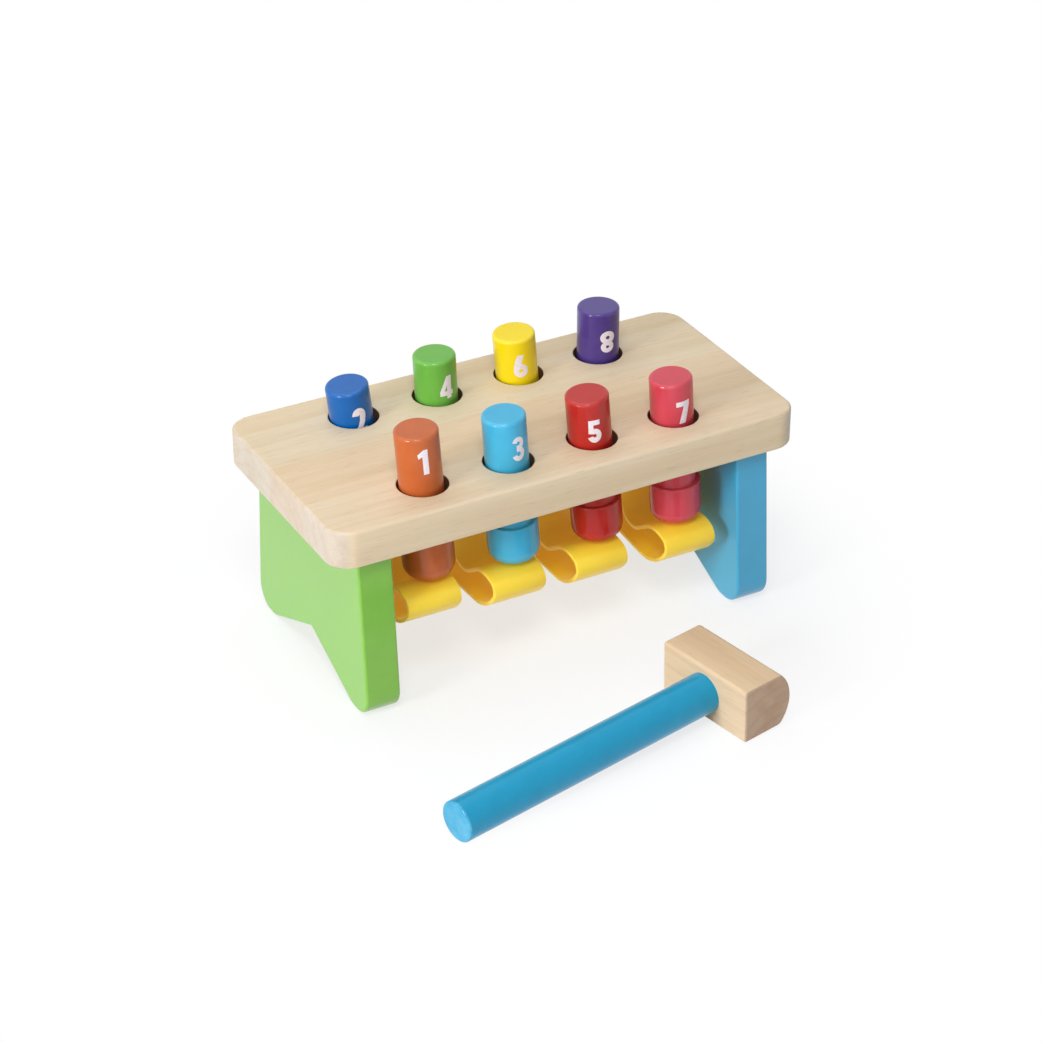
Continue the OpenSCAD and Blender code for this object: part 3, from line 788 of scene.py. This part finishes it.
# straps: a sheet that hangs over the rod and makes a lobe under each peg of a pair
straps = {"width": 29 * mm, "thick": 2 * mm, "gap": 0.2 * mm, "rodRadius": 11 * mm, "headroom": 1.5 * mm,
          "crestAhead": 6.3 * mm, "crest": 18.8 * mm, "nose": 5.3 * mm, "belly": 26.6 * mm,
          "valley": 12 * mm, "run": 8 * mm, "rise": 33, "noseTop": 69, "noseLow": -34,
          "slide": (-0.1, -0.09, -0.09, 0.07), "edge": 0.35 * mm, "edgeSteps": 3}
strapSteps = {"rod": 12, "fall": 12, "valley": 14, "ridge": 4, "hump": 14, "nose": 18, "belly": 14,
              "run": 20}
strapPath = straps["rodRadius"] + straps["gap"] + straps["thick"] / 2
rodHeight = board["top"] - board["thick"] - straps["headroom"] - straps["thick"] / 2 - strapPath


def ray(angle):
    return Vector((math.cos(math.radians(angle)), math.sin(math.radians(angle))))


# points along a straight stretch, evenly spaced
def stretch(first, last, steps):
    return [tuple(a + (b - a) * i / steps for a, b in zip(first, last)) for i in range(steps + 1)]


# height of a strap's middle line at the crest, just under the peg's base
def crestHeight(k):
    lean, footRound = pegLean(k), pegs["footRound"]
    foot = boardMiddle - pegDrop(k) * math.cos(lean) \
        - (pegs["baseRadius"] - footRound) * math.sin(lean) - footRound * (1 - math.cos(lean))
    return foot - straps["gap"] - straps["thick"] / 2


# middle line of half a strap in outward distance and height: the stretch from the rod to the belly,
# and the bottom run from there to the middle of the bench
def strapHalf(crestZ, otherZ):
    crest = Vector((board["rowGap"] / 2 + straps["crestAhead"], crestZ - straps["crest"]))
    nose = crest + (straps["crest"] - straps["nose"]) * ray(straps["noseTop"])
    belly = nose + (straps["nose"] - straps["belly"]) * ray(straps["noseLow"])
    valley = crest + (straps["crest"] + straps["valley"]) * ray(90 + straps["rise"]) \
        + straps["run"] * ray(180 + straps["rise"])
    rod = Vector((0, rodHeight))
    way = rod - valley
    bend = math.asin((strapPath + straps["valley"]) / way.length)
    heading = math.degrees(math.atan2(way.y, way.x) - bend)
    tilt = math.degrees(math.atan2(crestZ - otherZ, 2 * belly.x))
    upper = arcPoints(rod, strapPath, 90, heading - 90, strapSteps["rod"])
    lower = arcPoints(valley, straps["valley"], heading + 90, 270 + straps["rise"], strapSteps["valley"])
    fall = stretch(upper[-1], lower[0], strapSteps["fall"])[1:-1]
    hump = arcPoints(crest, straps["crest"], 90 + straps["rise"], straps["noseTop"], strapSteps["hump"])
    ridge = stretch(lower[-1], hump[0], strapSteps["ridge"])[1:-1]
    front = arcPoints(nose, straps["nose"], straps["noseTop"], straps["noseLow"], strapSteps["nose"])
    under = arcPoints(belly, straps["belly"], straps["noseLow"], tilt - 90, strapSteps["belly"])
    end = under[-1]
    middleHeight = end[1] - math.tan(math.radians(tilt)) * end[0]
    run = stretch(end, (0, middleHeight), strapSteps["run"])
    return upper + fall + lower + ridge + hump[1:] + front[1:] + under[1:], run


# draws a flat strip with softened edges along a line of points
def makeStripTree():
    tree, sockets, given = startTree("sheetStrip", {
        "Path": "NodeSocketGeometry", "Width": "NodeSocketFloat", "Thickness": "NodeSocketFloat",
        "Edge": "NodeSocketFloat", "Finish": "NodeSocketMaterial"}, "Strip")
    path = addNode(tree, "GeometryNodeMeshToCurve", {}, {"Mesh": given.outputs["Path"]})
    section = addNode(tree, "GeometryNodeCurvePrimitiveQuadrilateral", {"mode": "RECTANGLE"}, {
        "Width": given.outputs["Width"], "Height": given.outputs["Thickness"]})
    soft = addNode(tree, "GeometryNodeFilletCurve", {"mode": "POLY"}, {
        "Curve": section.outputs[0], "Radius": given.outputs["Edge"], "Count": straps["edgeSteps"]})
    swept = addNode(tree, "GeometryNodeCurveToMesh", {}, {
        "Curve": path.outputs[0], "Profile Curve": soft.outputs[0], "Fill Caps": False})
    endTree(tree, swept.outputs[0], given.outputs["Finish"])
    return tree, sockets


stripTree, stripSockets = makeStripTree()


def makeStrip(name, line, x, side):
    points = [(x, side * u, z) for u, z in line]
    sizes = {"Width": straps["width"], "Thickness": straps["thick"], "Edge": straps["edge"]}
    return growPiece(name, points, stripTree, stripSockets, sizes, strapSheet)


for pair, slide in enumerate(straps["slide"]):
    x = pairPlace(pair) + slide * straps["width"]
    node = f"strap_{2 * pair + 1}_{2 * pair + 2}"
    for k in (2 * pair + 1, 2 * pair + 2):
        crestZ, otherZ = crestHeight(k), crestHeight(k + 1 if k % 2 else k - 1)
        lobe, run = strapHalf(crestZ, otherZ)
        # the lobe reaches from the rod round under the peg, the run from its outer end to the middle of the
        # bench
        upper = makeStrip(f"strap_lobe_{k}", lobe, x, pegSide(k))
        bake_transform(upper)
        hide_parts(node)
        lower = makeStrip(f"strap_run_{k}", run, x, pegSide(k))
        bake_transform(lower)
        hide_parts(node)
print("straps made")

# mallet: head with a rounded back, and a dowel handle; it rests on the head's lower front edge and on
# the handle's end
mallet = {
    "headLength": 59 * mm, "headHeight": 29.3 * mm, "headDepth": 29.8 * mm, "backRadius": 20 * mm,
    "backSteps": 24, "headEdge": 1.1 * mm, "frontRound": 1.8 * mm, "frontSteps": 5, "footRound": 4 * mm,
    "footSteps": 6, "handleRadius": 10.5 * mm, "handleLength": 155 * mm, "handleSeat": 19.5 * mm,
    "handleChamfer": 0.8 * mm, "handleEdge": 1.0 * mm, "edgeSteps": 6, "support": 0.4 * mm,
    "place": (31 * mm, -138 * mm, 0)}
depth, height, radius = mallet["headDepth"], mallet["headHeight"], mallet["backRadius"]
r, edge, free = mallet["handleRadius"], mallet["handleEdge"], mallet["handleLength"]
dip = math.atan((height / 2 - r) / (free - mallet["handleChamfer"]))
malletPlace = Matrix.Translation(mallet["place"]) @ Matrix.Rotation(malletTurn, 4, "Z") \
    @ Matrix.Rotation(dip, 4, "Y")

# side view of the head, from the lower front corner up and round the back
front, foot = mallet["frontRound"], mallet["footRound"]
reachUp = math.degrees(math.asin(height / 2 / radius))
reachDown = math.degrees(math.asin((height / 2 - foot) / (radius - foot)))
footMiddle = (radius - depth - (radius - foot) * math.cos(math.radians(reachDown)), foot)
headOutline = [(0, 0)] + arcPoints((-front, height - front), front, 0, 90, mallet["frontSteps"]) \
    + arcPoints((radius - depth, height / 2), radius, 180 - reachUp, 180 + reachDown, mallet["backSteps"]) \
    + arcPoints(footMiddle, foot, 180 + reachDown, 270, mallet["footSteps"])[1:]
head = extrudeOutline("mallet_block", headOutline, mallet["headLength"], mallet["headEdge"], headBeech)
# outline x, z and thickness become X, Z and Y
upright = Matrix(((1, 0, 0, 0), (0, 0, -1, mallet["headLength"] / 2), (0, 1, 0, 0), (0, 0, 0, 1)))
head.data.transform(malletPlace @ upright)
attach(head, "mallet")
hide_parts("mallet_head")

# the handle's end face is painted paler, a painted highlight for the strong light that falls on it
handleProfile = [(0, -mallet["handleSeat"], 0), (r, -mallet["handleSeat"], 0), (r, 0, 0)]
handleProfile += profileRound((r - edge, free - edge), edge, 0, 90, mallet["support"],
                              mallet["edgeSteps"])[:-1]
handleProfile += [(r / 2, free, 1), (0, free, 1)]
handlePlace = malletPlace @ Matrix.Translation((0, 0, height / 2)) @ Matrix.Rotation(math.pi / 2, 4, "Y")
handle = turnPiece("mallet_dowel", handleProfile, handlePlace, handleBlue)
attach(handle, "mallet")
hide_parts("mallet_handle")
print("mallet made")

# wooden pieces kept as they were built
keptFinish = {"pulley_rod": rodBeech, "left_leg_dowels": pinBeech, "right_leg_dowels": pinBeech}
for name, material in keptFinish.items():
    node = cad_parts[name]
    node.data.materials.clear()
    node.data.materials.append(material)

print("finished")
